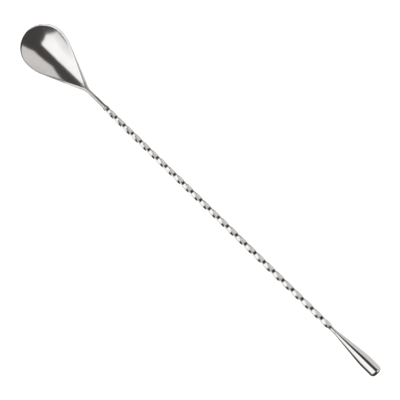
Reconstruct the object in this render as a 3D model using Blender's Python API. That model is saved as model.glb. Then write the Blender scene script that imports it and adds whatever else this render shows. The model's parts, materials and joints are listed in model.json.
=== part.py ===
"""Bar spoon: a pressed bowl, a twisted square shaft and a turned counterweight, brazed end to end.

Runs by itself in Blender 4.5. Units are metres and +Z is up. The pieces are laid out along the shaft's
own axis, with x = 0 at the bowl's neck face, and then lie on z = 0 as the spoon lies on a table: bowl
towards -X and open upwards, counterweight towards +X.
"""
import math

import bmesh
import bpy
import numpy as np

MM = 0.001

# Fits
CLEARANCE = 0.3 * MM             # between a spigot and its socket, and beside each ring of braze
BRAZE_THICKNESS = 0.6 * MM       # along the shaft
SPIGOT_DIAMETER = 1.2 * MM
NECK_SPIGOT_LENGTH = 4.0 * MM    # from the bowl's neck face
WEIGHT_SPIGOT_LENGTH = 6.0 * MM  # from the counterweight's small face

# Bowl, in plan; lengths run from the tip towards the shaft
BOWL_LENGTH = 56.6 * MM          # tip to neck face
BOWL_WIDTH = 30.8 * MM
TIP_TO_WIDEST = 15.3 * MM
SHOULDER_LENGTH = 21.6 * MM      # half length of the ellipse behind the widest place
NECK_LENGTH = 2.3 * MM           # neck face to where the straight sides would meet the neck
NECK_FILLET = 10.0 * MM
RIM_WIDTH = 1.4 * MM

CAVITY_END_FROM_FACE = 5.9 * MM  # neck face to the cavity's round end
CAVITY_END_RADIUS = 1.5 * MM

# Bowl, in section
CAVITY_CURVE = 15.0 * MM         # radius across the floor, up to the widest place
TROUGH_CURVE = 19.0 * MM         # and towards the neck
CURVE_CHANGE = 30.0 * MM         # length behind the widest place over which it changes
RIM_ROUNDING = 0.45 * MM         # radius of the rim's outer edge
RIM_BEVEL = math.radians(20)     # the rim's slope towards the cavity, beside its outer edge
RIM_ROLL = math.radians(36)      # and where it meets the cavity
TROUGH_BEVEL = 0.3               # shares of those slopes that are left along the trough
TROUGH_ROLL = 0.5

# Bowl, from the side
BOWL_LIFT = math.radians(8.0)    # the rim rises from the neck to the tip
BEND_FROM_FACE = 8.0 * MM        # neck face to the middle of the bend
BEND_HALF_LENGTH = 5.5 * MM

# Shaft
SHAFT_DIAMETER = 2.9 * MM        # plain round end at the bowl, and the bowl's neck
SHAFT_LENGTH = 211.4 * MM        # bowl's neck face to the counterweight's small face
PLAIN_AT_BOWL = 13.5 * MM
PLAIN_AT_WEIGHT = 3.2 * MM
BAR_WIDTH = 3.1 * MM             # square bar, across its flats
BAR_CORNER_RADIUS = 0.6 * MM
TWIST_PITCH = 30.3 * MM          # one full turn, right-handed along +X
TWIST_START_ANGLE = math.radians(29)
TWIST_RUN_OUT = 3.0 * MM         # round to square at each end of the twist

# Counterweight
WAIST_DIAMETER = 2.7 * MM        # its small face, and the shaft's end there
WEIGHT_LENGTH = 31.2 * MM
WEIGHT_DIAMETER = 8.0 * MM
CONE_LENGTH = 20.6 * MM          # small face to where the cone would meet the full diameter
CONE_BLEND_RADIUS = 40.0 * MM
END_CORNER_RADIUS = 2.4 * MM

# Mesh fineness
CAVITY_SEGMENTS = 20
BELLY_SEGMENTS = 22
FLANK_SEGMENTS = 2
EDGE_SEGMENTS = 3
ROWS_TO_WIDEST = 14
ROWS_TO_NECK = 28
ROWS_ALONG_NECK = 5
ROUND_SEGMENTS = 32
BAR_POINTS_PER_SIDE = 4
RINGS_PER_TURN = 18
ARC_SEGMENTS = 8
MERGE_DISTANCE = 0.0001 * MM
SHARP_ANGLE = math.radians(35)

# Worked out from the sizes above
NECK_RADIUS = SHAFT_DIAMETER / 2
SPIGOT_RADIUS = SPIGOT_DIAMETER / 2
SOCKET_RADIUS = SPIGOT_RADIUS + CLEARANCE
JOINT_GAP = BRAZE_THICKNESS + 2 * CLEARANCE
HALF_WIDTH = BOWL_WIDTH / 2
TAPER_END = BOWL_LENGTH - NECK_LENGTH


class Outline:
    """Half width of a teardrop: two half ellipses, straight sides, and a blend or a round end."""

    def __init__(self, start, widest, half_width, shoulder, end, end_half_width):
        self.start, self.widest, self.half_width, self.shoulder = start, widest, half_width, shoulder
        across = end_half_width / half_width
        along = (end - widest) / shoulder
        distance = math.hypot(along, across)
        touch = math.atan2(across, along) + math.acos(1 / distance)
        self.touch_x = widest + shoulder * math.cos(touch)
        self.touch_y = half_width * math.sin(touch)
        self.slope = (self.touch_y - end_half_width) / (end - self.touch_x)
        self.angle = math.atan(self.slope)

    def side(self, x):
        """The straight side, carried on without an end."""
        return self.touch_y - self.slope * (x - self.touch_x)

    def at(self, x):
        if x <= self.widest:
            share = min((self.widest - x) / (self.widest - self.start), 1.0)
            return self.half_width * math.sqrt(1 - share * share)
        if x <= self.touch_x:
            return self.half_width * math.sqrt(1 - ((x - self.widest) / self.shoulder) ** 2)
        return self.side(x)


PLAN = Outline(0.0, TIP_TO_WIDEST, HALF_WIDTH, SHOULDER_LENGTH, TAPER_END, NECK_RADIUS)


def plan_half_width(x):
    """The bowl's outer edge: the teardrop, blended into the round neck."""
    reach = NECK_FILLET * math.tan(PLAN.angle / 2)
    if x <= TAPER_END - reach * math.cos(PLAN.angle):
        return PLAN.at(x)
    if x <= TAPER_END + reach:
        return NECK_RADIUS + NECK_FILLET - math.sqrt(NECK_FILLET ** 2 - (TAPER_END + reach - x) ** 2)
    return NECK_RADIUS


CAVITY_END = BOWL_LENGTH - CAVITY_END_FROM_FACE
ROUND_END_CENTRE = CAVITY_END - CAVITY_END_RADIUS
INNER_PLAN = Outline(RIM_WIDTH, TIP_TO_WIDEST, HALF_WIDTH - RIM_WIDTH, SHOULDER_LENGTH - RIM_WIDTH,
                     ROUND_END_CENTRE, CAVITY_END_RADIUS / math.cos(PLAN.angle))


def cavity_half_width(x):
    """The cavity's edge, inside the rim, with its round end at the neck."""
    if x <= ROUND_END_CENTRE + CAVITY_END_RADIUS * math.sin(INNER_PLAN.angle):
        return INNER_PLAN.at(x)
    along = min((x - ROUND_END_CENTRE) / CAVITY_END_RADIUS, 1.0)
    return CAVITY_END_RADIUS * math.sqrt(1 - along * along)


def smooth_step(x, start, end):
    share = min(max((x - start) / (end - start), 0.0), 1.0)
    return share * share * (3 - 2 * share)


def rim_height(x):
    """The rim's top above the shaft's axis: level over the neck, then rising to the tip."""
    run = BOWL_LENGTH - BEND_FROM_FACE - x
    if run >= BEND_HALF_LENGTH:
        rise = run
    else:
        rise = max(run + BEND_HALF_LENGTH, 0.0) ** 2 / (4 * BEND_HALF_LENGTH)
    return NECK_RADIUS + rise * math.tan(BOWL_LIFT)


def edge_round(x):
    """Radius of the rim's outer edge, which becomes the side of the round neck."""
    return RIM_ROUNDING + (NECK_RADIUS - RIM_ROUNDING) * smooth_step(x, PLAN.touch_x, TAPER_END)


def rim_section(x, width):
    """(share, drop) over the rim from the cavity's edge to its outer edge; its crest has no drop."""
    flat = smooth_step(x, PLAN.touch_x - CURVE_CHANGE / 2, ROUND_END_CENTRE)
    level = 1 - smooth_step(x, ROUND_END_CENTRE, BOWL_LENGTH - BEND_FROM_FACE / 2)
    roll = RIM_ROLL * (1 + (TROUGH_ROLL - 1) * flat) * level
    bevel = RIM_BEVEL * (1 + (TROUGH_BEVEL - 1) * flat) * level
    edge = edge_round(x)
    flank = max(width - edge * (1 + math.sin(bevel)), MERGE_DISTANCE)
    spread = flank / max(math.sin(roll) - math.sin(bevel), MERGE_DISTANCE)
    crest = edge * (1 - math.cos(bevel))
    points = []
    for step in range(FLANK_SEGMENTS + 1):
        turn = roll + (bevel - roll) * step / FLANK_SEGMENTS
        across = flank - spread * (math.sin(turn) - math.sin(bevel))
        points.append((across / width, crest + spread * (math.cos(bevel) - math.cos(turn))))
    for step in range(1, EDGE_SEGMENTS + 1):
        turn = -bevel + (math.pi / 2 + bevel) * step / EDGE_SEGMENTS
        points.append(((width - edge + edge * math.sin(turn)) / width, edge * (1 - math.cos(turn))))
    return points


def section_curve(x):
    """Radius at the middle of the sections' parabolas."""
    change = smooth_step(x, TIP_TO_WIDEST, TIP_TO_WIDEST + CURVE_CHANGE)
    return CAVITY_CURVE + (TROUGH_CURVE - CAVITY_CURVE) * change


def belly_depth(x):
    """The outer edge down to the belly, which becomes the underside of the round neck."""
    share = smooth_step(x, TIP_TO_WIDEST, TAPER_END)
    least = NECK_RADIUS ** 2 * share
    part = max((plan_half_width(x) ** 2 - least) / (HALF_WIDTH ** 2 - least), 0.0)
    return NECK_RADIUS * share + HALF_WIDTH ** 2 * part / (2 * section_curve(x))


def cavity_section(half_width, depth, segments):
    """(y, dip) across the cavity's parabola, closer set at its walls."""
    shares = [math.sin(math.pi / 2 * (2 * step / segments - 1)) for step in range(segments + 1)]
    return [(half_width * share, depth * (1 - share * share)) for share in shares]


def arc_section(half_width, depth, segments):
    """(y, drop) along the circular arc that is half_width wide to each side and depth deep."""
    if half_width < MERGE_DISTANCE:
        return [(0.0, 0.0)] * (segments + 1)
    depth = min(max(depth, MERGE_DISTANCE), half_width)
    radius = (half_width ** 2 + depth ** 2) / (2 * depth)
    reach = math.asin(min(half_width / radius, 1.0))
    angles = [reach * (2 * step / segments - 1) for step in range(segments + 1)]
    return [(radius * math.sin(a), radius * math.cos(a) - (radius - depth)) for a in angles]


def bowl_stations():
    """Distances from the tip of the bowl's cross sections, closer where its outline curves most."""
    stations = [TIP_TO_WIDEST * (1 - math.cos(math.pi / 2 * row / ROWS_TO_WIDEST))
                for row in range(ROWS_TO_WIDEST)]
    stations += [TIP_TO_WIDEST + (CAVITY_END - TIP_TO_WIDEST) * math.sin(math.pi / 2 * row / ROWS_TO_NECK)
                 for row in range(ROWS_TO_NECK + 1)]
    stations += [CAVITY_END + (BOWL_LENGTH - CAVITY_END) * row / ROWS_ALONG_NECK
                 for row in range(1, ROWS_ALONG_NECK + 1)]
    return stations


def bowl_row(x):
    """One closed cross section of the bowl: left rim, cavity, right rim, belly."""
    inside = x < CAVITY_END
    inner_x = RIM_WIDTH + x * (1 - RIM_WIDTH / CAVITY_END) if inside else x
    inner, outer = cavity_half_width(inner_x) if inside else 0.0, plan_half_width(x)
    profile = rim_section(x, max(outer - inner, RIM_WIDTH) if inside else outer)
    rim = []
    for share, drop in profile[1:]:
        rim_x = inner_x + (x - inner_x) * share
        rim.append((rim_x, inner + (outer - inner) * share, rim_height(rim_x) - drop))
    edge = rim_height(inner_x) - profile[0][1]
    depth = inner ** 2 / (2 * section_curve(inner_x))
    row = [(px, -py, pz) for px, py, pz in reversed(rim)]
    row += [(inner_x, y, edge - dip) for y, dip in cavity_section(inner, depth, CAVITY_SEGMENTS)]
    row += rim
    row += [(x, -y, rim[-1][2] - dip) for y, dip in arc_section(outer, belly_depth(x), BELLY_SEGMENTS)[1:-1]]
    return [(px - BOWL_LENGTH, py, pz) for px, py, pz in row]


def bar_ring(x, twist_start, twist_end, plain_radius):
    """A cross section of the bar: square with round corners inside the twist, round outside it."""
    square = min(smooth_step(x, twist_start, twist_start + TWIST_RUN_OUT),
                 1 - smooth_step(x, twist_end - TWIST_RUN_OUT, twist_end))
    turn = TWIST_START_ANGLE + 2 * math.pi * (x - twist_start) / TWIST_PITCH
    core = BAR_WIDTH / 2 - BAR_CORNER_RADIUS
    ring = []
    for side in range(4):
        for point in range(BAR_POINTS_PER_SIDE):
            corner = math.pi / 2 * point / (BAR_POINTS_PER_SIDE - 1)
            y = core + BAR_CORNER_RADIUS * math.cos(corner)
            z = core + BAR_CORNER_RADIUS * math.sin(corner)
            radius = math.hypot(y, z) * square + plain_radius * (1 - square)
            angle = math.atan2(z, y) + side * math.pi / 2 + turn
            ring.append((x, radius * math.cos(angle), radius * math.sin(angle)))
    return ring


def round_ring(x, radius, count, start_angle=0.0):
    angles = [start_angle + 2 * math.pi * step / count for step in range(count)]
    return [(x, radius * math.cos(a), radius * math.sin(a)) for a in angles]


def loft(name, rings, close_ends=True, join_ends=False):
    """A closed mesh through rings of equally many points, which run counter-clockwise seen from +X."""
    bm = bmesh.new()
    rows = [[bm.verts.new(point) for point in ring] for ring in rings]
    pairs = list(zip(rows, rows[1:]))
    if join_ends:
        pairs.append((rows[-1], rows[0]))
    for row, following in pairs:
        for index in range(len(row)):
            after = (index + 1) % len(row)
            bm.faces.new((row[index], row[after], following[after], following[index]))
    bmesh.ops.remove_doubles(bm, verts=bm.verts, dist=MERGE_DISTANCE)
    if close_ends:
        open_edges = [edge for edge in bm.edges if edge.is_boundary]
        bmesh.ops.holes_fill(bm, edges=open_edges, sides=0)
    bmesh.ops.recalc_face_normals(bm, faces=bm.faces)
    mesh = bpy.data.meshes.new(name)
    bm.to_mesh(mesh)
    bm.free()
    mesh.shade_smooth()
    mesh.set_sharp_from_angle(angle=SHARP_ANGLE)
    return mesh


def turned(name, profile, join_ends=False):
    """A piece turned on the shaft's axis; profile lists (x, radius) and joins up for a plain ring."""
    rings = [round_ring(x, radius, ROUND_SEGMENTS) for x, radius in profile]
    return loft(name, rings, close_ends=not join_ends, join_ends=join_ends)


def arc_points(centre_x, centre_r, radius, start_angle, end_angle):
    sweep = end_angle - start_angle
    angles = [start_angle + sweep * step / ARC_SEGMENTS for step in range(ARC_SEGMENTS + 1)]
    return [(centre_x + radius * math.cos(a), centre_r + radius * math.sin(a)) for a in angles]


def metal(name, colour, roughness):
    material = bpy.data.materials.new(name)
    material.use_nodes = True
    shader = material.node_tree.nodes["Principled BSDF"]
    shader.inputs["Base Color"].default_value = (*colour, 1.0)
    shader.inputs["Metallic"].default_value = 1.0
    shader.inputs["Roughness"].default_value = roughness
    return material


def place(name, mesh, material, parent):
    piece = bpy.data.objects.new(name, mesh)
    bpy.context.collection.objects.link(piece)
    piece.parent = parent
    if material is not None:
        mesh.materials.append(material)
    return piece


def cut(piece, name, mesh, parent):
    """Take a hidden cutter out of a piece."""
    cutter = place(name, mesh, None, parent)
    cutter.hide_render = True
    cutter.display_type = "WIRE"
    boolean = piece.modifiers.new(name, "BOOLEAN")
    boolean.operation = "DIFFERENCE"
    boolean.object = cutter


def make_bowl(parent):
    """The pressed bowl, with a blind socket drilled into its solid neck."""
    mesh = loft("bowl", [bowl_row(x) for x in bowl_stations()])
    bowl = place("bowl", mesh, metal("bowl_steel", (0.66, 0.65, 0.64), 0.16), parent)
    socket = turned("neck_socket", [(-NECK_SPIGOT_LENGTH - CLEARANCE, SOCKET_RADIUS), (MM, SOCKET_RADIUS)])
    cut(bowl, "neck_socket", socket, parent)
    return bowl


def make_shaft(parent):
    """The square bar, twisted between plain round ends that are turned down to spigots."""
    twist_start, twist_end = PLAIN_AT_BOWL, SHAFT_LENGTH - PLAIN_AT_WEIGHT
    first_shoulder, last_shoulder = JOINT_GAP, SHAFT_LENGTH - JOINT_GAP
    ring_count = math.ceil((twist_end - twist_start) / TWIST_PITCH * RINGS_PER_TURN)
    twist_x = [twist_start + (twist_end - twist_start) * step / ring_count for step in range(ring_count + 1)]

    def plain(x, radius, like):
        """A round ring whose points line up with those of the bar's ring at like."""
        ring = bar_ring(like, twist_start, twist_end, radius)
        return [(x, y * radius / math.hypot(y, z), z * radius / math.hypot(y, z)) for _, y, z in ring]

    waist = WAIST_DIAMETER / 2
    rings = [plain(-NECK_SPIGOT_LENGTH, SPIGOT_RADIUS, twist_start),
             plain(first_shoulder, SPIGOT_RADIUS, twist_start),
             plain(first_shoulder, NECK_RADIUS, twist_start)]
    for x in twist_x:
        share = smooth_step(x, twist_start, twist_end)
        rings.append(bar_ring(x, twist_start, twist_end, NECK_RADIUS + (waist - NECK_RADIUS) * share))
    rings += [plain(last_shoulder, waist, twist_end),
              plain(last_shoulder, SPIGOT_RADIUS, twist_end),
              plain(SHAFT_LENGTH + WEIGHT_SPIGOT_LENGTH, SPIGOT_RADIUS, twist_end)]
    return place("shaft", loft("shaft", rings), metal("shaft_steel", (0.64, 0.63, 0.62), 0.14), parent)


def make_weight(parent):
    """The counterweight, turned from solid: cone, drum, rounded flat end and a blind socket."""
    waist, full = WAIST_DIAMETER / 2, WEIGHT_DIAMETER / 2
    cone_angle = math.atan((full - waist) / CONE_LENGTH)
    reach = CONE_BLEND_RADIUS * math.tan(cone_angle / 2)
    blend = arc_points(CONE_LENGTH + reach, full - CONE_BLEND_RADIUS, CONE_BLEND_RADIUS,
                       math.pi / 2 + cone_angle, math.pi / 2)
    corner = arc_points(WEIGHT_LENGTH - END_CORNER_RADIUS, full - END_CORNER_RADIUS, END_CORNER_RADIUS,
                        math.pi / 2, 0.0)
    socket_end = WEIGHT_SPIGOT_LENGTH + CLEARANCE
    profile = [(socket_end, SOCKET_RADIUS), (0.0, SOCKET_RADIUS), (0.0, waist), *blend, *corner]
    mesh = turned("weight", [(SHAFT_LENGTH + x, radius) for x, radius in profile])
    return place("weight", mesh, metal("weight_steel", (0.67, 0.66, 0.65), 0.1), parent)


def make_braze(name, face, radius, parent):
    """A ring of silver braze round a spigot, between the face at x = face and the shaft's shoulder."""
    near, far = face + CLEARANCE, face + CLEARANCE + BRAZE_THICKNESS
    mesh = turned(name, [(near, SOCKET_RADIUS), (near, radius), (far, radius), (far, SOCKET_RADIUS)],
                  join_ends=True)
    return place(name, mesh, metal(name + "_silver", (0.78, 0.76, 0.7), 0.28), parent)


def lowest(points, tilt):
    """The lowest height of points turned by tilt about the Y axis."""
    return float((points[:, 2] * math.cos(tilt) - points[:, 0] * math.sin(tilt)).min())


def lay_down(rest, bowl, weight, pieces):
    """Tip the spoon until belly and counterweight both touch z = 0, and centre it over the origin."""
    points = {piece: np.array([vertex.co for vertex in piece.data.vertices]) for piece in pieces}
    low, high = -math.radians(20), math.radians(20)
    while high - low > 1e-10:
        middle = (low + high) / 2
        if lowest(points[bowl], middle) > lowest(points[weight], middle):
            high = middle
        else:
            low = middle
    tilt = (low + high) / 2
    every = np.concatenate(list(points.values()))
    along = every[:, 0] * math.cos(tilt) + every[:, 2] * math.sin(tilt)
    rest.rotation_euler = (0.0, tilt, 0.0)
    rest.location = (-(along.min() + along.max()) / 2, -(every[:, 1].min() + every[:, 1].max()) / 2,
                     -lowest(every, tilt))


def main():
    for leftover in list(bpy.data.objects):
        bpy.data.objects.remove(leftover)
    rest = bpy.data.objects.new("spoon_rest", None)
    bpy.context.collection.objects.link(rest)
    bowl, shaft, weight = make_bowl(rest), make_shaft(rest), make_weight(rest)
    neck_braze = make_braze("neck_braze", 0.0, NECK_RADIUS, rest)
    weight_braze = make_braze("weight_braze", SHAFT_LENGTH - JOINT_GAP, WAIST_DIAMETER / 2, rest)
    lay_down(rest, bowl, weight, (bowl, shaft, weight, neck_braze, weight_braze))
    bpy.context.view_layer.update()


main()
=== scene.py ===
"""Bar spoon in polished stainless steel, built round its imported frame."""

import json
import math

import bmesh
import bpy
from mathutils import Matrix, Vector
from bpy.props import FloatProperty, FloatVectorProperty, IntProperty, PointerProperty


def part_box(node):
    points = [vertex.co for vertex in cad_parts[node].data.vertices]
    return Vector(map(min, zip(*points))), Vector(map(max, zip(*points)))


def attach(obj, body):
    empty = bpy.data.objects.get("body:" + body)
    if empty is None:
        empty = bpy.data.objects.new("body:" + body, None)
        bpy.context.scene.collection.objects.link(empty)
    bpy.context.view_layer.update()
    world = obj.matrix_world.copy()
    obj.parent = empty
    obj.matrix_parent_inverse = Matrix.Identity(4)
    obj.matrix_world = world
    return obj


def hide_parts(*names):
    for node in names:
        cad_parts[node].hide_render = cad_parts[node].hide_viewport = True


bl_info = {
    "name": "Bar Spoon",
    "version": (1, 0, 0),
    "blender": (4, 5, 0),
    "location": "3D View > Sidebar > Bar Spoon",
    "description": "Builds a polished bar spoon with its twisted shaft and counterweight",
    "category": "Add Mesh",
}

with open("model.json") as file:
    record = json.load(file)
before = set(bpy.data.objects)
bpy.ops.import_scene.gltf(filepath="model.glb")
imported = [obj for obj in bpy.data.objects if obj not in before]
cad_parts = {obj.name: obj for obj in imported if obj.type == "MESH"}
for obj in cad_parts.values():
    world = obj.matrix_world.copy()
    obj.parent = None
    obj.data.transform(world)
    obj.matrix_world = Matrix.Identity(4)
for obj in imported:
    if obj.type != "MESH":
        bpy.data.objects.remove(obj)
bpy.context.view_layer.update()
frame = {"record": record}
MM = 0.001
MERGE_DISTANCE = 1e-7
SHARP_ANGLE = math.radians(35)
ARC_STEPS = 24                  # in each arc of the counterweight's profile
MENISCUS_STEPS = 10             # along each ring of braze
PLAIN_STEPS = 12                # along the shaft's plain end at the bowl

# Polished metal
PATCH_SCALE = 140.0             # hazed patches, per metre
PATCH_DETAIL = 4.0
PATCH_TONES = (0.94, 1.06)
LINE_DETAIL = 3.0
LINE_RANGE = (0.35, 0.75)       # of the polishing lines' noise, from polished to hazed
DULL_AND_SHADE_FADE = 3.0 * MM            # beside a joint the metal is rougher and its colour is darkened as painted shade, and this is how it begins and ends
# painted shade: how much the colour is darkened beside a joint
PAINTED_SHADE_TONE = 0.15
DULL_ROUGHNESS = 0.12
DULL_AND_SHADE_NECK = 5.0 * MM            # rougher length of the bowl's neck, with painted shade
DULL_AND_SHADE_TO_TWIST = 2.0 * MM        # from the end of the shaft's rougher length with painted shade to the twist

# Polishing lines: repeats per metre along X, Y and Z, and their depth
BOWL_LINES = ((300.0, 2500.0, 2500.0), 0.004 * MM)
SHAFT_LINES = ((600.0, 2000.0, 2000.0), 0.002 * MM)
WEIGHT_LINES = ((3000.0, 300.0, 300.0), 0.001 * MM)
BRAZE_LINES = ((900.0, 900.0, 900.0), 0.01 * MM)

# Stage
FLOOR_RADIUS = 4.0
FLOOR_SEGMENTS = 96
FLOOR_DROP = 0.02 * MM          # below the spoon
FLOOR_TONE = 0.9
BACKDROP_RADIUS = 3.92
BACKDROP_SEGMENTS = (64, 32)
CARD_STEPS = 12
CLIP_START = 0.01
ROOM_ABOVE = (0.067, 0.063, 0.062)
ROOM_BELOW = (1.3, 1.3, 1.3)
ROOM_SPLIT = (0.17, 0.23)       # from straight down at 0 to straight up at 1

WHITE = (1.0, 1.0, 1.0)
WARM_WHITE = (1.0, 0.98, 0.97)
WARM_GREY = (1.0, 0.96, 0.94)
# Cards that only reflections see: name, outline, radius, material, tint, strength and fades. An outline
# lists (angle from straight up towards +Y, X from, X to); a fade goes from (place, share) to (place, share).
CARDS = (
    ("softbox", ((-3, -20.0, 2.3), (-12, -20.0, 2.7), (-78, -20.0, 1.9)), 6.0,
     "softbox_glow", WHITE, 1.3, (("Y", (0.0, 0.8), (0.3, 1.0)),)),
    ("flag", ((-37, -0.1036, -0.093), (-70, -0.163, -0.098)), 0.08,
     "flag_black", WARM_GREY, 0.08, ()),
    ("neck_flag", ((30, -0.096, -0.084), (100, -0.096, -0.084)), 0.02,
     "neck_flag_grey", WARM_GREY, 0.22, ()),
    ("neck_bounce", ((-35, -0.107, -0.088), (-135, -0.107, -0.088)), 0.02,
     "neck_bounce_white", (1.0, 0.99, 0.98), 0.85, ()),
    ("reflector", ((40, -4.0, 0.27), (70, -4.0, 1.3), (130, -4.0, 1.3)), 1.5,
     "reflector_glow", WARM_WHITE, 0.8, ()),
    ("edge_flag", ((130, -4.0, 0.1), (176, -4.0, 0.1)), 1.5,
     "edge_flag_grey", WARM_WHITE, 0.35, ()),
    ("end_bounce", ((15, 0.2, 0.5), (120, 0.2, 0.5)), 0.1,
     "end_bounce_white", WARM_WHITE, 0.75, ()),
)


def shaft_line():
    """The neck face's centre on the shaft's axis, and the axis, from the counterweight's end face."""
    end = frame["record"]["mounts"][0]
    axis = Vector(end["axis"]).normalized()
    end_centre = Vector(end["pos_m"])
    neck_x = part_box("bowl")[1].x
    return end_centre - axis * (end_centre.x - neck_x) / axis.x, axis


NECK_FACE, AXIS = shaft_line()
BOWL_BOX, WEIGHT_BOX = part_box("bowl"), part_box("weight")
BOWL_LENGTH = BOWL_BOX[1].x - BOWL_BOX[0].x
BOWL_WIDTH = BOWL_BOX[1].y - BOWL_BOX[0].y
WEIGHT_LENGTH = WEIGHT_BOX[1].x - WEIGHT_BOX[0].x
WEIGHT_DIAMETER = WEIGHT_BOX[1].y - WEIGHT_BOX[0].y
SHAFT_LENGTH = WEIGHT_BOX[0].x - NECK_FACE.x
NECK_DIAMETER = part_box("neck_braze")[1].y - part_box("neck_braze")[0].y
WAIST_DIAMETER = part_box("weight_braze")[1].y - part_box("weight_braze")[0].y


def length(name, description, default):
    return FloatProperty(name=name, description=description, default=default, min=0.0,
                         subtype="DISTANCE", unit="LENGTH", precision=5)


def angle(name, description, degrees):
    return FloatProperty(name=name, description=description, default=math.radians(degrees),
                         subtype="ANGLE", unit="ROTATION")


def amount(name, description, default, high=1.0):
    return FloatProperty(name=name, description=description, default=default, min=0.0, max=high,
                         subtype="FACTOR")


def colour(name, description, default):
    return FloatVectorProperty(name=name, description=description, default=default, size=3, min=0.0,
                               max=1.0, subtype="COLOR")


def count(name, description, default, least):
    return IntProperty(name=name, description=description, default=default, min=least)


class SpoonBowlSettings(bpy.types.PropertyGroup):
    """Sizes of the pressed bowl; lengths along it run from the tip."""
    widest: length("Tip to Widest", "From the tip to the widest place", 15.3 * MM)
    shoulder: length("Shoulder", "Half length of the ellipse behind the widest place", 21.6 * MM)
    neck: length("Neck", "From the neck face to where the straight sides would meet the neck", 2.3 * MM)
    neck_fillet: length("Neck Fillet", "Radius between the straight sides and the neck", 10.0 * MM)
    rim: length("Rim Width", "From the outer edge to the cavity, seen from above", 1.4 * MM)
    rim_round: length("Rim Rounding", "Radius of the rim's outer edge", 0.45 * MM)
    rim_bevel: angle("Rim Bevel", "The rim's slope towards the cavity, beside its outer edge", 20.0)
    rim_roll: angle("Rim Roll", "The rim's slope where it meets the cavity", 36.0)
    trough_bevel: amount("Trough Bevel", "Share of the rim's bevel that is left along the trough", 0.3)
    trough_roll: amount("Trough Roll", "Share of the rim's roll that is left along the trough", 0.5)
    curve: length("Cavity Radius", "Radius across the cavity's floor, up to the widest place", 15.0 * MM)
    curve_end: length("Cavity Radius at Neck", "Radius across the cavity's floor in the trough", 19.0 * MM)
    curve_run: length("Radius Change", "Length behind the widest place over which it changes", 30.0 * MM)
    lift: angle("Lift", "The rim's rise from the neck to the tip", 8.0)
    bend: length("Bend", "From the neck face to the middle of the bend", 8.0 * MM)
    bend_half: length("Bend Half Length", "From the middle of the bend to its ends", 5.5 * MM)
    trough_end: length("Cavity End", "From the neck face to the cavity's end", 5.9 * MM)
    trough_radius: length("Trough End", "Radius of the cavity's round end at the neck", 1.5 * MM)
    rows_front: count("Rows at the Tip", "Sections up to the widest place", 44, 4)
    rows_back: count("Rows Behind", "Sections from there to the trough's end", 90, 4)
    rows_neck: count("Rows in the Neck", "Sections along the solid neck", 16, 2)


class SpoonShaftSettings(bpy.types.PropertyGroup):
    """Sizes of the twisted square bar."""
    plain_at_bowl: length("Plain End at Bowl", "Round length between the neck face and the twist", 13.5 * MM)
    plain_at_weight: length("Plain End at Weight", "Round length after the twist", 3.2 * MM)
    bar: length("Bar Width", "Across the flats of the square bar", 3.1 * MM)
    corner: length("Corner Radius", "Radius of the bar's four corners", 0.6 * MM)
    pitch: length("Pitch", "Length of one full turn of the twist", 30.3 * MM)
    start_angle: angle("Start Angle", "The bar's turn where the twist begins", 29.0)
    run_out: length("Run-out", "Length over which round turns to square", 3.0 * MM)
    rings_per_turn: count("Rings per Turn", "Sections in one turn", 96, 8)
    corner_points: count("Corner Points", "Points round each corner", 8, 2)
    flat_points: count("Flat Points", "Points along each flat", 6, 1)


class SpoonWeightSettings(bpy.types.PropertyGroup):
    """Sizes of the turned counterweight and the two rings of braze."""
    cone: length("Cone", "From the small face to where the cone would meet the full diameter", 20.6 * MM)
    blend_radius: length("Cone Blend", "Radius between cone and drum", 40.0 * MM)
    end_radius: length("End Corner", "Radius round the flat end", 2.4 * MM)
    joint_gap: length("Joint", "Length of each ring of braze", 1.2 * MM)
    meniscus: length("Meniscus", "How far the braze is drawn in between its faces", 0.05 * MM)
    segments: count("Segments", "Points round each turned piece", 96, 16)


class SpoonSteelSettings(bpy.types.PropertyGroup):
    """Finish of the polished stainless steel and the silver braze."""
    steel: colour("Steel", "Colour of the polished stainless steel", (0.72, 0.71, 0.70))
    braze: colour("Braze", "Colour of the silver braze", (0.76, 0.74, 0.71))
    polish: amount("Roughness", "Roughness of the polished shaft and counterweight", 0.08)
    bowl_polish: amount("Bowl Roughness", "Roughness of the polished bowl", 0.15)
    braze_polish: amount("Braze Roughness", "Roughness of the polished braze", 0.16)
    haze: amount("Haze", "How much rougher the steel is in its hazed patches", 0.05)


class SpoonStageSettings(bpy.types.PropertyGroup):
    """The pale floor, the soft studio light and the camera."""
    lens: FloatProperty(name="Lens", description="Focal length", default=65.0, min=10.0, unit="CAMERA")
    distance: length("Distance", "From the camera to the spoon", 434.18 * MM)
    tip: angle("Tip", "The camera's lean from upright towards the counterweight", 12.83)
    roll: angle("Roll", "The shaft's slope down to the right in the view", 44.31)
    aim: length("Aim", "From the neck face along the shaft to the middle of the view", 100.54 * MM)
    overhead: FloatProperty(name="Overhead", description="Strength of the soft light from above",
                            default=5.5, min=0.0)
    overhead_spread: angle("Overhead Spread", "How wide the sky is that the light comes from", 120.0)


# Shapes

class Outline:
    """Half width of a teardrop: two half ellipses and straight sides tangent to the second."""

    def __init__(self, start, widest, half_width, shoulder, end, end_half_width):
        self.start, self.widest, self.half_width, self.shoulder = start, widest, half_width, shoulder
        across = end_half_width / half_width
        along = (end - widest) / shoulder
        touch = math.atan2(across, along) + math.acos(1 / math.hypot(along, across))
        self.touch_x = widest + shoulder * math.cos(touch)
        self.touch_y = half_width * math.sin(touch)
        self.slope = (self.touch_y - end_half_width) / (end - self.touch_x)
        self.angle = math.atan(self.slope)

    def side(self, x):
        return self.touch_y - self.slope * (x - self.touch_x)

    def at(self, x):
        if x <= self.widest:
            share = min((self.widest - x) / (self.widest - self.start), 1.0)
            return self.half_width * math.sqrt(1 - share * share)
        if x <= self.touch_x:
            return self.half_width * math.sqrt(1 - ((x - self.widest) / self.shoulder) ** 2)
        return self.side(x)


def smooth_step(x, start, end):
    share = min(max((x - start) / (end - start), 0.0), 1.0)
    return share * share * (3 - 2 * share)


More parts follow.
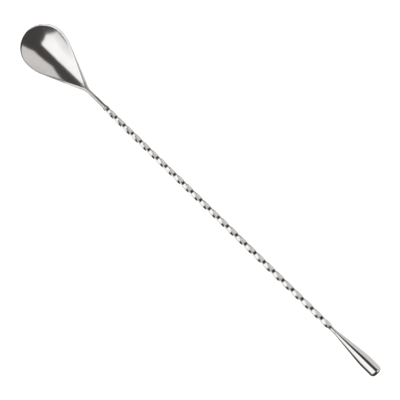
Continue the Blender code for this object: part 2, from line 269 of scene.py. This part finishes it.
def cavity_section(half_width, depth, segments):
    """(y, dip) across the cavity's parabola, closer set at its walls."""
    shares = [math.sin(math.pi / 2 * (2 * step / segments - 1)) for step in range(segments + 1)]
    return [(half_width * share, depth * (1 - share * share)) for share in shares]


def arc_section(half_width, depth, segments):
    """(y, drop) along the circular arc that is half_width wide to each side and depth deep."""
    if half_width < MERGE_DISTANCE:
        return [(0.0, 0.0)] * (segments + 1)
    depth = min(max(depth, MERGE_DISTANCE), half_width)
    radius = (half_width ** 2 + depth ** 2) / (2 * depth)
    reach = math.asin(min(half_width / radius, 1.0))
    angles = [reach * (2 * step / segments - 1) for step in range(segments + 1)]
    return [(radius * math.sin(a), radius * math.cos(a) - (radius - depth)) for a in angles]


class BowlShape:
    """The pressed bowl's cross sections, from its tip at x = 0 to its neck face."""
    FLANK_SEGMENTS = 8
    EDGE_SEGMENTS = 8
    CAVITY_SEGMENTS = 72
    BELLY_SEGMENTS = 72

    def __init__(self, s):
        self.s = s
        self.neck_radius = NECK_DIAMETER / 2
        self.taper_end = BOWL_LENGTH - s.neck
        self.plan = Outline(0.0, s.widest, BOWL_WIDTH / 2, s.shoulder, self.taper_end, self.neck_radius)
        self.cavity_end = BOWL_LENGTH - s.trough_end
        self.trough_centre = self.cavity_end - s.trough_radius
        self.inner = Outline(s.rim, s.widest, BOWL_WIDTH / 2 - s.rim, s.shoulder - s.rim,
                             self.trough_centre, s.trough_radius / math.cos(self.plan.angle))

    def outer_half_width(self, x):
        fillet, bend = self.s.neck_fillet, self.plan.angle
        reach = fillet * math.tan(bend / 2)
        if x <= self.taper_end - reach * math.cos(bend):
            return self.plan.at(x)
        if x <= self.taper_end + reach:
            return self.neck_radius + fillet - math.sqrt(fillet ** 2 - (self.taper_end + reach - x) ** 2)
        return self.neck_radius

    def inner_half_width(self, x):
        radius = self.s.trough_radius
        if x <= self.trough_centre + radius * math.sin(self.inner.angle):
            return self.inner.at(x)
        along = min((x - self.trough_centre) / radius, 1.0)
        return radius * math.sqrt(1 - along * along)

    def rim_height(self, x):
        run = BOWL_LENGTH - self.s.bend - x
        half = self.s.bend_half
        rise = run if run >= half else max(run + half, 0.0) ** 2 / (4 * half)
        return self.neck_radius + rise * math.tan(self.s.lift)

    def edge_round(self, x):
        """Radius of the rim's outer edge, which becomes the side of the round neck."""
        start = self.s.rim_round
        return start + (self.neck_radius - start) * smooth_step(x, self.plan.touch_x, self.taper_end)

    def rim_section(self, x, width, roll, bevel):
        """(share, drop) over the rim from the cavity's edge to its outer edge; the crest has no drop."""
        edge = self.edge_round(x)
        flank = max(width - edge * (1 + math.sin(bevel)), MERGE_DISTANCE)
        spread = flank / max(math.sin(roll) - math.sin(bevel), MERGE_DISTANCE)
        crest = edge * (1 - math.cos(bevel))
        points = []
        for step in range(self.FLANK_SEGMENTS + 1):
            share = step / self.FLANK_SEGMENTS
            turn = roll + (bevel - roll) * share
            across = flank - spread * (math.sin(turn) - math.sin(bevel))
            points.append((across / width, crest + spread * (math.cos(bevel) - math.cos(turn))))
        for step in range(1, self.EDGE_SEGMENTS + 1):
            turn = -bevel + (math.pi / 2 + bevel) * step / self.EDGE_SEGMENTS
            points.append(((width - edge + edge * math.sin(turn)) / width, edge * (1 - math.cos(turn))))
        return points

    def curve(self, x):
        """Radius at the middle of the section's parabola."""
        s = self.s
        return s.curve + (s.curve_end - s.curve) * smooth_step(x, s.widest, s.widest + s.curve_run)

    def belly_depth(self, x):
        """The outer edge down to the belly, which becomes the underside of the round neck."""
        share = smooth_step(x, self.s.widest, self.taper_end)
        least = self.neck_radius ** 2 * share
        full = self.plan.half_width ** 2
        part = max((self.outer_half_width(x) ** 2 - least) / (full - least), 0.0)
        return self.neck_radius * share + full * part / (2 * self.curve(x))

    def stations(self):
        s = self.s
        places = [s.widest * (1 - math.cos(math.pi / 2 * row / s.rows_front)) for row in range(s.rows_front)]
        places += [s.widest + (self.cavity_end - s.widest) * math.sin(math.pi / 2 * row / s.rows_back)
                   for row in range(s.rows_back + 1)]
        places += [self.cavity_end + (BOWL_LENGTH - self.cavity_end) * row / s.rows_neck
                   for row in range(1, s.rows_neck + 1)]
        return places

    def row(self, x):
        """One closed section: left rim, cavity, right rim, belly."""
        s = self.s
        inside = x < self.cavity_end
        inner_x = s.rim + x * (1 - s.rim / self.cavity_end) if inside else x
        inner = self.inner_half_width(inner_x) if inside else 0.0
        outer = self.outer_half_width(x)
        width = max(outer - inner, s.rim) if inside else outer
        flat = smooth_step(x, self.plan.touch_x - s.curve_run / 2, self.trough_centre)
        level = smooth_step(x, self.trough_centre, BOWL_LENGTH - s.bend / 2)
        roll = s.rim_roll * (1 + (s.trough_roll - 1) * flat) * (1 - level)
        bevel = s.rim_bevel * (1 + (s.trough_bevel - 1) * flat) * (1 - level)
        profile = self.rim_section(x, width, roll, bevel)
        rim = []
        for share, drop in profile[1:]:
            rim_x = inner_x + (x - inner_x) * share
            rim.append((rim_x, inner + (outer - inner) * share, self.rim_height(rim_x) - drop))
        edge = self.rim_height(inner_x) - profile[0][1]
        depth = inner ** 2 / (2 * self.curve(inner_x))
        floor = cavity_section(inner, depth, self.CAVITY_SEGMENTS)
        belly = arc_section(outer, self.belly_depth(x), self.BELLY_SEGMENTS)
        row = [(px, -py, pz) for px, py, pz in reversed(rim)]
        row += [(inner_x, y, edge - dip) for y, dip in floor]
        row += rim
        row += [(x, -y, rim[-1][2] - dip) for y, dip in belly[1:-1]]
        return [(px - BOWL_LENGTH, py, pz) for px, py, pz in row]


def bar_ring(s, x, twist_start, twist_end, plain_radius):
    """A section of the bar: square with round corners inside the twist, round outside it."""
    square = min(smooth_step(x, twist_start, twist_start + s.run_out),
                 1 - smooth_step(x, twist_end - s.run_out, twist_end))
    turn = s.start_angle + 2 * math.pi * (x - twist_start) / s.pitch
    core = s.bar / 2 - s.corner
    points = []
    for step in range(s.corner_points + 1):
        bend = math.pi / 2 * step / s.corner_points
        points.append((core + s.corner * math.cos(bend), core + s.corner * math.sin(bend)))
    for step in range(1, s.flat_points):
        points.append((core - 2 * core * step / s.flat_points, core + s.corner))
    ring = []
    for side in range(4):
        for y, z in points:
            radius = math.hypot(y, z) * square + plain_radius * (1 - square)
            bearing = math.atan2(z, y) + side * math.pi / 2 + turn
            ring.append((x, radius * math.cos(bearing), radius * math.sin(bearing)))
    return ring


def loft(name, rings, join_ends=False):
    """A closed mesh through rings of equally many points, which run counter-clockwise seen from +X."""
    bm = bmesh.new()
    rows = [[bm.verts.new(point) for point in ring] for ring in rings]
    pairs = list(zip(rows, rows[1:]))
    if join_ends:
        pairs.append((rows[-1], rows[0]))
    for row, following in pairs:
        for index in range(len(row)):
            after = (index + 1) % len(row)
            bm.faces.new((row[index], row[after], following[after], following[index]))
    bmesh.ops.remove_doubles(bm, verts=bm.verts, dist=MERGE_DISTANCE)
    open_edges = [edge for edge in bm.edges if edge.is_boundary]
    if open_edges:
        bmesh.ops.holes_fill(bm, edges=open_edges, sides=0)
    bmesh.ops.recalc_face_normals(bm, faces=bm.faces)
    mesh = bpy.data.meshes.new(name)
    bm.to_mesh(mesh)
    bm.free()
    mesh.shade_smooth()
    mesh.set_sharp_from_angle(angle=SHARP_ANGLE)
    return mesh


def turned(name, profile, segments, join_ends=False):
    """A piece turned on the shaft's axis through the profile's (x, radius) points."""
    bearings = [2 * math.pi * step / segments for step in range(segments)]
    rings = [[(x, radius * math.cos(a), radius * math.sin(a)) for a in bearings] for x, radius in profile]
    return loft(name, rings, join_ends)


def arc_points(centre_x, centre_r, radius, start, end, steps):
    turns = [start + (end - start) * step / steps for step in range(steps + 1)]
    return [(centre_x + radius * math.cos(a), centre_r + radius * math.sin(a)) for a in turns]


def along_shaft():
    """From the spoon's own frame, with x = 0 at the neck face, to the row frame."""
    side = Vector((0, 1, 0))
    up = AXIS.cross(side)
    turn = Matrix((AXIS, side, up)).transposed().to_4x4()
    return Matrix.Translation(NECK_FACE) @ turn


def add_piece(name, mesh, material, node):
    """Put a finished mesh in place of its CAD node."""
    piece = bpy.data.objects.new(name, mesh)
    bpy.context.scene.collection.objects.link(piece)
    mesh.transform(along_shaft())
    mesh.materials.append(material)
    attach(piece, "root")
    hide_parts(node)
    return piece


# Materials

def map_range(tree, value, source, target, interpolation="LINEAR"):
    """A socket with the value taken from the source range to the target range."""
    node = tree.nodes.new("ShaderNodeMapRange")
    node.interpolation_type = interpolation
    node.inputs["From Min"].default_value, node.inputs["From Max"].default_value = source
    node.inputs["To Min"].default_value, node.inputs["To Max"].default_value = target
    tree.links.new(value, node.inputs["Value"])
    return node.outputs["Result"]


def noise(tree, vector, scale, detail):
    node = tree.nodes.new("ShaderNodeTexNoise")
    node.inputs["Scale"].default_value = scale
    node.inputs["Detail"].default_value = detail
    tree.links.new(vector, node.inputs["Vector"])
    return node.outputs["Fac"]


def multiply(tree, value, factor):
    """A socket with the value times the factor, which is a number or another socket."""
    node = tree.nodes.new("ShaderNodeMath")
    node.operation = "MULTIPLY"
    tree.links.new(value, node.inputs[0])
    if isinstance(factor, float):
        node.inputs[1].default_value = factor
    else:
        tree.links.new(factor, node.inputs[1])
    return node.outputs["Value"]


def multiply_add(tree, value, factor, addend):
    """A socket with value * factor + addend, where the factor is a number."""
    node = tree.nodes.new("ShaderNodeMath")
    node.operation = "MULTIPLY_ADD"
    node.inputs[1].default_value = factor
    tree.links.new(value, node.inputs[0])
    tree.links.new(addend, node.inputs[2])
    return node.outputs["Value"]


def polished_metal(name, tint, roughness, haze, lines, dull_and_shade_from, dull_and_shade_to):
    """Polished metal: hazed patches and polishing lines; rougher, with its colour darkened as painted shade,
    between the last two arguments' places in X.
    """
    material = bpy.data.materials.new(name)
    material.use_nodes = True
    tree = material.node_tree
    shader = tree.nodes["Principled BSDF"]
    shader.inputs["Metallic"].default_value = 1.0
    place = tree.nodes.new("ShaderNodeTexCoord").outputs["Object"]

    line_scale, line_depth = lines
    stretch = tree.nodes.new("ShaderNodeMapping")
    stretch.inputs["Scale"].default_value = line_scale
    tree.links.new(place, stretch.inputs["Vector"])
    lined = noise(tree, stretch.outputs["Vector"], 1.0, LINE_DETAIL)

    split = tree.nodes.new("ShaderNodeSeparateXYZ")
    tree.links.new(place, split.inputs["Vector"])
    # mask of the stretch beside a joint, which is rougher and darkened with painted shade
    begins, ends = (map_range(tree, split.outputs["X"], edge, (0.0, 1.0), "SMOOTHSTEP")
                    for edge in ((dull_and_shade_from - DULL_AND_SHADE_FADE, dull_and_shade_from), (dull_and_shade_to + DULL_AND_SHADE_FADE, dull_and_shade_to)))
    dull_and_shade = multiply(tree, begins, ends)

    tone = map_range(tree, noise(tree, place, PATCH_SCALE, PATCH_DETAIL), (0.0, 1.0), PATCH_TONES)
    tinted = tree.nodes.new("ShaderNodeVectorMath")
    tinted.operation = "SCALE"
    tinted.inputs[0].default_value = tint
    # painted shade: the colour is darkened inside the mask
    tree.links.new(multiply_add(tree, dull_and_shade, -PAINTED_SHADE_TONE, tone), tinted.inputs["Scale"])
    tree.links.new(tinted.outputs["Vector"], shader.inputs["Base Color"])

    rough = map_range(tree, lined, LINE_RANGE, (roughness, roughness + haze))
    tree.links.new(multiply_add(tree, dull_and_shade, DULL_ROUGHNESS, rough), shader.inputs["Roughness"])

    bump = tree.nodes.new("ShaderNodeBump")
    bump.inputs["Strength"].default_value = 1.0
    bump.inputs["Distance"].default_value = line_depth
    tree.links.new(lined, bump.inputs["Height"])
    tree.links.new(bump.outputs["Normal"], shader.inputs["Normal"])
    return material


# Operators

class SPOON_OT_bowl(bpy.types.Operator):
    """Build the pressed bowl with its tapered neck"""
    bl_idname = "spoon.bowl"
    bl_label = "Bowl"

    def execute(self, context):
        steel = context.scene.spoon_steel
        shape = BowlShape(context.scene.spoon_bowl)
        mesh = loft("bowl_pressing", [shape.row(x) for x in shape.stations()])
        # the neck is rougher and its colour darkened with painted shade
        finish = polished_metal("bowl_polish", steel.steel, steel.bowl_polish, steel.haze, BOWL_LINES,
                                NECK_FACE.x - DULL_AND_SHADE_NECK, NECK_FACE.x)
        add_piece("bowl_pressing", mesh, finish, "bowl")
        return {"FINISHED"}


class SPOON_OT_shaft(bpy.types.Operator):
    """Build the twisted square shaft with its plain round ends"""
    bl_idname = "spoon.shaft"
    bl_label = "Shaft"

    def execute(self, context):
        s, steel = context.scene.spoon_shaft, context.scene.spoon_steel
        joint = context.scene.spoon_weight.joint_gap
        twist_start, twist_end = s.plain_at_bowl, SHAFT_LENGTH - s.plain_at_weight
        neck, waist = NECK_DIAMETER / 2, WAIST_DIAMETER / 2
        count = math.ceil((twist_end - twist_start) / s.pitch * s.rings_per_turn)

        def plain(x, radius, like):
            ring = bar_ring(s, like, twist_start, twist_end, radius)
            return [(x, y, z) for _, y, z in ring]

        rings = [plain(joint + (twist_start - joint) * step / PLAIN_STEPS, neck, twist_start)
                 for step in range(PLAIN_STEPS)]
        for step in range(count + 1):
            x = twist_start + (twist_end - twist_start) * step / count
            share = smooth_step(x, twist_start, twist_end)
            rings.append(bar_ring(s, x, twist_start, twist_end, neck + (waist - neck) * share))
        rings.append(plain(SHAFT_LENGTH - joint, waist, twist_end))
        # the plain end at the bowl is rougher and its colour darkened with painted shade
        finish = polished_metal("shaft_polish", steel.steel, steel.polish, steel.haze, SHAFT_LINES,
                                NECK_FACE.x, NECK_FACE.x + s.plain_at_bowl - DULL_AND_SHADE_TO_TWIST)
        add_piece("shaft_bar", loft("shaft_bar", rings), finish, "shaft")
        return {"FINISHED"}


class SPOON_OT_weight(bpy.types.Operator):
    """Build the turned counterweight"""
    bl_idname = "spoon.weight"
    bl_label = "Counterweight"

    def execute(self, context):
        s, steel = context.scene.spoon_weight, context.scene.spoon_steel
        waist, full = WAIST_DIAMETER / 2, WEIGHT_DIAMETER / 2
        cone_angle = math.atan((full - waist) / s.cone)
        reach = s.blend_radius * math.tan(cone_angle / 2)
        blend = arc_points(s.cone + reach, full - s.blend_radius, s.blend_radius,
                           math.pi / 2 + cone_angle, math.pi / 2, ARC_STEPS)
        corner = arc_points(WEIGHT_LENGTH - s.end_radius, full - s.end_radius, s.end_radius,
                            math.pi / 2, 0.0, ARC_STEPS)
        profile = [(SHAFT_LENGTH + x, radius) for x, radius in [(0.0, waist), *blend, *corner]]
        # the rougher stretch with painted shade ends at the counterweight's small face
        dull_and_shade_at = NECK_FACE.x + SHAFT_LENGTH - DULL_AND_SHADE_FADE
        finish = polished_metal("weight_polish", steel.steel, steel.polish, steel.haze, WEIGHT_LINES,
                                dull_and_shade_at, dull_and_shade_at)
        mesh = turned("weight_drop", profile, s.segments)
        add_piece("weight_drop", mesh, finish, "weight")
        return {"FINISHED"}


class SPOON_OT_brazes(bpy.types.Operator):
    """Build the two rings of silver braze"""
    bl_idname = "spoon.brazes"
    bl_label = "Braze Rings"

    def execute(self, context):
        s, steel = context.scene.spoon_weight, context.scene.spoon_steel
        # the braze rings are rougher and their colour darkened with painted shade all over
        finish = polished_metal("braze_polish", steel.braze, steel.braze_polish, steel.haze, BRAZE_LINES,
                                NECK_FACE.x, NECK_FACE.x + SHAFT_LENGTH)
        for node, start, radius in (("neck_braze", 0.0, NECK_DIAMETER / 2),
                                    ("weight_braze", SHAFT_LENGTH - s.joint_gap, WAIST_DIAMETER / 2)):
            bore = radius / 2
            shares = [step / MENISCUS_STEPS for step in range(MENISCUS_STEPS + 1)]
            skin = [(start + s.joint_gap * share, radius - s.meniscus * math.sin(math.pi * share))
                    for share in shares]
            profile = [(start, bore), *skin, (start + s.joint_gap, bore)]
            mesh = turned(node + "_ring", profile, s.segments, join_ends=True)
            add_piece(node + "_ring", mesh, finish, node)
        return {"FINISHED"}


class SPOON_OT_stage(bpy.types.Operator):
    """Set the pale floor, the soft studio light and the camera"""
    bl_idname = "spoon.stage"
    bl_label = "Stage"

    def execute(self, context):
        s = context.scene.spoon_stage
        make_floor()
        make_backdrop()
        make_lights(s)
        make_camera(s)
        return {"FINISHED"}


def emission(name, tint, strength, fades=()):
    """A glowing material; each fade scales it from (place, share) to (place, share) along an axis."""
    material = bpy.data.materials.new(name)
    material.use_nodes = True
    tree = material.node_tree
    tree.nodes.clear()
    glow = tree.nodes.new("ShaderNodeEmission")
    glow.inputs["Color"].default_value = (*tint, 1.0)
    glow.inputs["Strength"].default_value = strength
    out = tree.nodes.new("ShaderNodeOutputMaterial")
    tree.links.new(glow.outputs["Emission"], out.inputs["Surface"])
    if fades:
        place = tree.nodes.new("ShaderNodeTexCoord")
        split = tree.nodes.new("ShaderNodeSeparateXYZ")
        tree.links.new(place.outputs["Generated"], split.inputs["Vector"])
        level = float(strength)
        for axis, (start, from_share), (end, to_share) in fades:
            fade = map_range(tree, split.outputs[axis], (start, end), (from_share, to_share), "SMOOTHSTEP")
            level = multiply(tree, fade, level)
        tree.links.new(level, glow.inputs["Strength"])
    return material


def stage_object(name, bm, material):
    """A piece of the stage from a finished bmesh, which it frees."""
    mesh = bpy.data.meshes.new(name)
    bm.to_mesh(mesh)
    bm.free()
    mesh.materials.append(material)
    thing = bpy.data.objects.new(name, mesh)
    bpy.context.scene.collection.objects.link(thing)
    return thing


def make_floor():
    material = bpy.data.materials.new("floor_paper")
    material.use_nodes = True
    shader = material.node_tree.nodes["Principled BSDF"]
    shader.inputs["Base Color"].default_value = (FLOOR_TONE, FLOOR_TONE, FLOOR_TONE, 1.0)
    shader.inputs["Roughness"].default_value = 1.0
    shader.inputs["Specular IOR Level"].default_value = 0.0
    bm = bmesh.new()
    bmesh.ops.create_circle(bm, cap_ends=True, segments=FLOOR_SEGMENTS, radius=FLOOR_RADIUS)
    floor = stage_object("floor", bm, material)
    floor.location.z = -FLOOR_DROP
    floor.visible_glossy = False


def make_backdrop():
    """A white dome that closes the view above the floor and lights nothing."""
    bm = bmesh.new()
    around, upwards = BACKDROP_SEGMENTS
    bmesh.ops.create_uvsphere(bm, u_segments=around, v_segments=upwards, radius=BACKDROP_RADIUS)
    dome = stage_object("backdrop", bm, emission("backdrop_white", WHITE, 1.0))
    dome.visible_glossy = False
    dome.visible_diffuse = False
    dome.visible_shadow = False


def make_card(name, outline, radius, material):
    """A curved sheet round the spoon's long axis, seen by reflections only."""
    bm = bmesh.new()
    rows = []
    for (angle, start, end), (next_angle, next_start, next_end) in zip(outline, outline[1:]):
        for step in range(CARD_STEPS + 1):
            share = step / CARD_STEPS
            turn = math.radians(angle + (next_angle - angle) * share)
            edges = (start + (next_start - start) * share, end + (next_end - end) * share)
            rows.append([bm.verts.new((x, radius * math.sin(turn), radius * math.cos(turn)))
                         for x in edges])
    for (a, b), (c, d) in zip(rows, rows[1:]):
        bm.faces.new((a, b, d, c))
    bmesh.ops.remove_doubles(bm, verts=bm.verts, dist=MERGE_DISTANCE)
    sheet = stage_object(name, bm, material)
    sheet.visible_camera = False
    sheet.visible_diffuse = False
    sheet.visible_shadow = False


def make_room():
    """Dark above and white below, as the polished steel sees it beyond the cards."""
    world = bpy.data.worlds.new("room")
    bpy.context.scene.world = world
    world.use_nodes = True
    tree = world.node_tree
    place = tree.nodes.new("ShaderNodeTexCoord")
    split = tree.nodes.new("ShaderNodeSeparateXYZ")
    tree.links.new(place.outputs["Generated"], split.inputs["Vector"])
    ramp = tree.nodes.new("ShaderNodeValToRGB")
    tree.links.new(map_range(tree, split.outputs["Z"], (-1.0, 1.0), (0.0, 1.0)), ramp.inputs["Fac"])
    for stop, position, tone in zip(ramp.color_ramp.elements, ROOM_SPLIT, (ROOM_BELOW, ROOM_ABOVE)):
        stop.position = position
        stop.color = (*tone, 1.0)
    tree.links.new(ramp.outputs["Color"], tree.nodes["Background"].inputs["Color"])


def make_lights(s):
    make_room()
    for name, outline, radius, glow, tint, strength, fades in CARDS:
        make_card(name, outline, radius, emission(glow, tint, strength, fades))
    sun = bpy.data.lights.new("overhead", "SUN")
    sun.energy = s.overhead
    sun.angle = s.overhead_spread
    sun.use_shadow = False
    lamp = bpy.data.objects.new("overhead", sun)
    bpy.context.scene.collection.objects.link(lamp)
    lamp.visible_glossy = False


def make_camera(s):
    data = bpy.data.cameras.new("camera")
    data.lens = s.lens
    data.clip_start = CLIP_START
    camera = bpy.data.objects.new("camera", data)
    bpy.context.scene.collection.objects.link(camera)
    target = NECK_FACE + AXIS * s.aim
    back = Vector((math.sin(s.tip), 0.0, math.cos(s.tip)))
    along = Vector((math.cos(s.tip), 0.0, -math.sin(s.tip)))
    across = Vector((0.0, 1.0, 0.0))
    right = along * math.cos(s.roll) + across * math.sin(s.roll)
    up = across * math.cos(s.roll) - along * math.sin(s.roll)
    turn = Matrix((right, up, back)).transposed().to_4x4()
    camera.matrix_world = Matrix.Translation(target + back * s.distance) @ turn
    scene = bpy.context.scene
    scene.camera = camera
    scene.view_settings.view_transform = "Standard"
    scene.view_settings.look = "None"


class SPOON_PT_panel(bpy.types.Panel):
    """Everything that builds the spoon"""
    bl_label = "Bar Spoon"
    bl_idname = "SPOON_PT_panel"
    bl_space_type = "VIEW_3D"
    bl_region_type = "UI"
    bl_category = "Bar Spoon"

    def draw(self, context):
        for operator, group in BUILD_ORDER:
            column = self.layout.column(align=True)
            column.operator(operator.bl_idname)
            settings = getattr(context.scene, group)
            for name in settings.__annotations__:
                column.prop(settings, name)


BUILD_ORDER = (
    (SPOON_OT_bowl, "spoon_bowl"),
    (SPOON_OT_shaft, "spoon_shaft"),
    (SPOON_OT_weight, "spoon_weight"),
    (SPOON_OT_brazes, "spoon_steel"),
    (SPOON_OT_stage, "spoon_stage"),
)
SETTINGS = {
    "spoon_bowl": SpoonBowlSettings,
    "spoon_shaft": SpoonShaftSettings,
    "spoon_weight": SpoonWeightSettings,
    "spoon_steel": SpoonSteelSettings,
    "spoon_stage": SpoonStageSettings,
}


def register():
    for name, group in SETTINGS.items():
        bpy.utils.register_class(group)
        setattr(bpy.types.Scene, name, PointerProperty(type=group))
    for operator, _ in BUILD_ORDER:
        bpy.utils.register_class(operator)
    bpy.utils.register_class(SPOON_PT_panel)


def unregister():
    bpy.utils.unregister_class(SPOON_PT_panel)
    for operator, _ in BUILD_ORDER:
        bpy.utils.unregister_class(operator)
    for name, group in SETTINGS.items():
        delattr(bpy.types.Scene, name)
        bpy.utils.unregister_class(group)


def main():
    register()
    bpy.ops.spoon.bowl()
    bpy.ops.spoon.shaft()
    bpy.ops.spoon.weight()
    bpy.ops.spoon.brazes()
    bpy.ops.spoon.stage()


if __name__ == "__main__":
    main()
